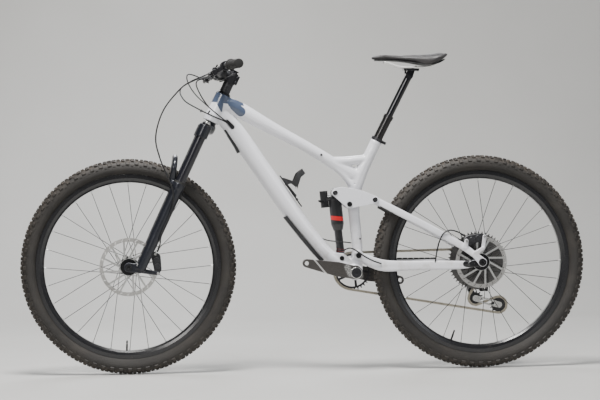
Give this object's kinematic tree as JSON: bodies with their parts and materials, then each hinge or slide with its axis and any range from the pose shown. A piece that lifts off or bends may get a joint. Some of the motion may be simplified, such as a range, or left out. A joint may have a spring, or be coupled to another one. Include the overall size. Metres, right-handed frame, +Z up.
{
  "type": "full-suspension mountain bicycle",
  "caption": "Full-suspension mountain bicycle with linkage-driven rear shock, telescopic fork, dropper post, disc brakes and a single-ring chain drive with rear derailleur.",
  "frame": {"origin": "on the ground, midway between the two tyre contacts, in the bicycle's middle plane", "axes": "+X forwards, +Y to the rider's left, +Z up; wheels stand on Z = 0"},
  "size_m": [1.964, 0.7926, 1.1016],
  "materials": {
    "frame_paint": "gloss",
    "satin_black_metal": "satin",
    "black_plastic": "matte",
    "black_rubber": "matte",
    "tyre_rubber": "matte",
    "black_rim": "gloss",
    "dark_hub": "satin",
    "spoke_steel": "satin",
    "bright_steel": "satin",
    "caliper_black": "satin",
    "saddle_cover": "satin"
  },
  "bodies": {
    "frame": {"main_frame": "frame_paint", "frame_guards": "black_plastic", "frame_fittings": "satin_black_metal", "frame_bearings": "bright_steel", "pivot_bolts": "bright_steel", "bottle_cage": "black_plastic", "frame_hoses": "black_rubber", "dropper_outer": "dark_hub"},
    "dropper_post": {"dropper_inner": "dark_hub", "saddle_cover": "saddle_cover", "saddle_base": "black_plastic", "saddle_rails": "bright_steel"},
    "steering": {"fork_crown": "satin_black_metal", "stanchions": "dark_hub", "headset_spacers": "satin_black_metal", "stem": "satin_black_metal", "handlebar": "satin_black_metal", "grips": "black_rubber", "brake_levers": "satin_black_metal", "control_pods": "satin_black_metal", "bar_hoses": "black_rubber"},
    "left_brake_blade": {"brake_blade_left": "bright_steel"},
    "right_brake_blade": {"brake_blade_right": "bright_steel"},
    "shift_thumb_paddles": {"shift_paddles": "black_plastic"},
    "dropper_thumb_lever": {"dropper_lever": "black_plastic"},
    "fork_lower_legs": {"fork_lowers": "satin_black_metal", "front_axle": "bright_steel", "front_caliper": "caliper_black"},
    "front_wheel": {"front_tyre": "tyre_rubber", "front_rim": "black_rim", "front_spokes": "spoke_steel", "front_hub": "dark_hub", "front_rotor": "bright_steel"},
    "swingarm": {"chainstays": "frame_paint", "chainstay_guard": "black_rubber", "rear_axle": "bright_steel", "derailleur_hanger": "bright_steel", "chain": "bright_steel", "derailleur_body": "satin_black_metal"},
    "seatstay_link": {"seatstays": "frame_paint", "rear_caliper": "caliper_black"},
    "rocker": {"rocker_link": "frame_paint"},
    "shock_lower": {"shock_damper": "dark_hub"},
    "shock_upper": {"shock_can": "dark_hub"},
    "shock_firmness_lever": {"shock_lever": "dark_hub"},
    "rear_wheel": {"rear_tyre": "tyre_rubber", "rear_rim": "black_rim", "rear_spokes": "spoke_steel", "rear_hub": "dark_hub", "rear_rotor": "bright_steel"},
    "cassette_driver": {"cassette": "bright_steel"},
    "crankset": {"crank_left": "satin_black_metal", "crank_right": "satin_black_metal", "chainring": "satin_black_metal"},
    "derailleur_outer": {"derailleur_outer_link": "satin_black_metal"},
    "derailleur_inner": {"derailleur_inner_link": "satin_black_metal"},
    "derailleur_moving_knuckle": {"derailleur_knuckle": "satin_black_metal"},
    "derailleur_cage_body": {"derailleur_cage": "bright_steel"},
    "upper_pulley_wheel": {"upper_pulley": "black_plastic"},
    "lower_pulley_wheel": {"lower_pulley": "black_plastic"}
  },
  "joints": [
    {"name": "steering", "type": "hinge", "parent": "frame", "child": "steering", "pos_m": [0.3218, 0, 0.8647], "axis": [-0.4258, 0, 0.9048], "range_deg": [-58, 58], "deforming": ["bar_hoses"]},
    {"name": "fork_travel", "type": "slide", "parent": "steering", "child": "fork_lower_legs", "axis": [-0.4258, 0, 0.9048], "range_m": [0, 0.15], "deforming": ["bar_hoses"]},
    {"name": "front_wheel_spin", "type": "hinge", "parent": "fork_lower_legs", "child": "front_wheel", "pos_m": [0.61, 0, 0.372], "axis": [0, 1, 0], "continuous": true},
    {"name": "left_brake_lever", "type": "hinge", "parent": "steering", "child": "left_brake_blade", "pos_m": [0.32613, 0.191, 1.0227], "axis": [0.515, 0, 0.8572], "range_deg": [0, 18]},
    {"name": "right_brake_lever", "type": "hinge", "parent": "steering", "child": "right_brake_blade", "pos_m": [0.32613, -0.191, 1.0227], "axis": [0.515, 0, 0.8572], "range_deg": [-18, 0]},
    {"name": "shift_paddles", "type": "hinge", "parent": "steering", "child": "shift_thumb_paddles", "pos_m": [0.2762, -0.138, 1.0267], "axis": [0.2588, 0, 0.9659], "range_deg": [-22, 0]},
    {"name": "dropper_lever", "type": "hinge", "parent": "steering", "child": "dropper_thumb_lever", "pos_m": [0.2762, 0.138, 1.0267], "axis": [0.2588, 0, 0.9659], "range_deg": [0, 22]},
    {"name": "rear_suspension", "type": "hinge", "parent": "frame", "child": "swingarm", "pos_m": [-0.184, 0, 0.4], "axis": [0, 1, 0], "range_deg": [0, 19], "deforming": ["frame_hoses", "chain"]},
    {"name": "seatstay_turn", "type": "hinge", "parent": "swingarm", "child": "seatstay_link", "pos_m": [-0.61, 0, 0.372], "axis": [0, 1, 0], "range_deg": [-8.05, 0]},
    {"name": "rocker_turn", "type": "hinge", "parent": "frame", "child": "rocker", "pos_m": [-0.1545, 0, 0.578], "axis": [0, 1, 0], "range_deg": [0, 54.7]},
    {"name": "shock_swing", "type": "hinge", "parent": "frame", "child": "shock_lower", "pos_m": [-0.127, 0, 0.391], "axis": [0, 1, 0], "range_deg": [0, 5.72]},
    {"name": "shock_stroke", "type": "slide", "parent": "shock_lower", "child": "shock_upper", "axis": [0.0965, 0, 0.9953], "range_m": [-0.05502, 0]},
    {"name": "shock_lever_turn", "type": "hinge", "parent": "shock_upper", "child": "shock_firmness_lever", "pos_m": [-0.07127, 0.016, 0.58252], "axis": [0, 1, 0], "range_deg": [-40, 40]},
    {"name": "rear_wheel_spin", "type": "hinge", "parent": "swingarm", "child": "rear_wheel", "pos_m": [-0.61, 0, 0.372], "axis": [0, 1, 0], "continuous": true},
    {"name": "cassette_spin", "type": "hinge", "parent": "swingarm", "child": "cassette_driver", "pos_m": [-0.61, 0, 0.372], "axis": [0, 1, 0], "continuous": true, "deforming": ["chain"]},
    {"name": "crank_spin", "type": "hinge", "parent": "frame", "child": "crankset", "pos_m": [-0.171, 0, 0.342], "axis": [0, 1, 0], "continuous": true, "deforming": ["chain"]},
    {"name": "derailleur_outer_turn", "type": "hinge", "parent": "swingarm", "child": "derailleur_outer", "pos_m": [-0.643, -0.098, 0.282], "axis": [0, 0, 1], "range_deg": [-25, 28], "deforming": ["chain"]},
    {"name": "derailleur_inner_turn", "type": "hinge", "parent": "swingarm", "child": "derailleur_inner", "pos_m": [-0.635, -0.084, 0.282], "axis": [0, 0, 1], "range_deg": [-25, 28], "deforming": ["chain"]},
    {"name": "derailleur_knuckle_turn", "type": "hinge", "parent": "derailleur_outer", "child": "derailleur_moving_knuckle", "pos_m": [-0.601, -0.098, 0.282], "axis": [0, 0, 1], "range_deg": [-28, 25], "deforming": ["chain"]},
    {"name": "cage_swing", "type": "hinge", "parent": "derailleur_moving_knuckle", "child": "derailleur_cage_body", "pos_m": [-0.606, -0.049, 0.24], "axis": [0, 1, 0], "range_deg": [-70, 8], "deforming": ["chain"]},
    {"name": "upper_pulley_spin", "type": "hinge", "parent": "derailleur_cage_body", "child": "upper_pulley_wheel", "pos_m": [-0.606, -0.049, 0.24], "axis": [0, 1, 0], "continuous": true, "deforming": ["chain"]},
    {"name": "lower_pulley_spin", "type": "hinge", "parent": "derailleur_cage_body", "child": "lower_pulley_wheel", "pos_m": [-0.68856, -0.049, 0.21591], "axis": [0, 1, 0], "continuous": true, "deforming": ["chain"]},
    {"name": "dropper_drop", "type": "slide", "parent": "frame", "child": "dropper_post", "axis": [0.4571, 0, -0.8894], "range_m": [0, 0.125]}
  ],
  "couplings": [
    {"joint": "seatstay_turn", "follows": "rear_suspension", "ratio": -0.42338},
    {"joint": "rocker_turn", "follows": "rear_suspension", "ratio": 2.8781},
    {"joint": "shock_swing", "follows": "rear_suspension", "ratio": 0.30063},
    {"joint": "shock_stroke", "follows": "rear_suspension", "m_per_rad": -0.16588},
    {"joint": "cassette_spin", "follows": "crank_spin", "ratio": 1.5238},
    {"joint": "upper_pulley_spin", "follows": "crank_spin", "ratio": -2.6667},
    {"joint": "lower_pulley_spin", "follows": "crank_spin", "ratio": 2.2857},
    {"joint": "derailleur_inner_turn", "follows": "derailleur_outer_turn", "ratio": 1},
    {"joint": "derailleur_knuckle_turn", "follows": "derailleur_outer_turn", "ratio": -1}
  ]
}
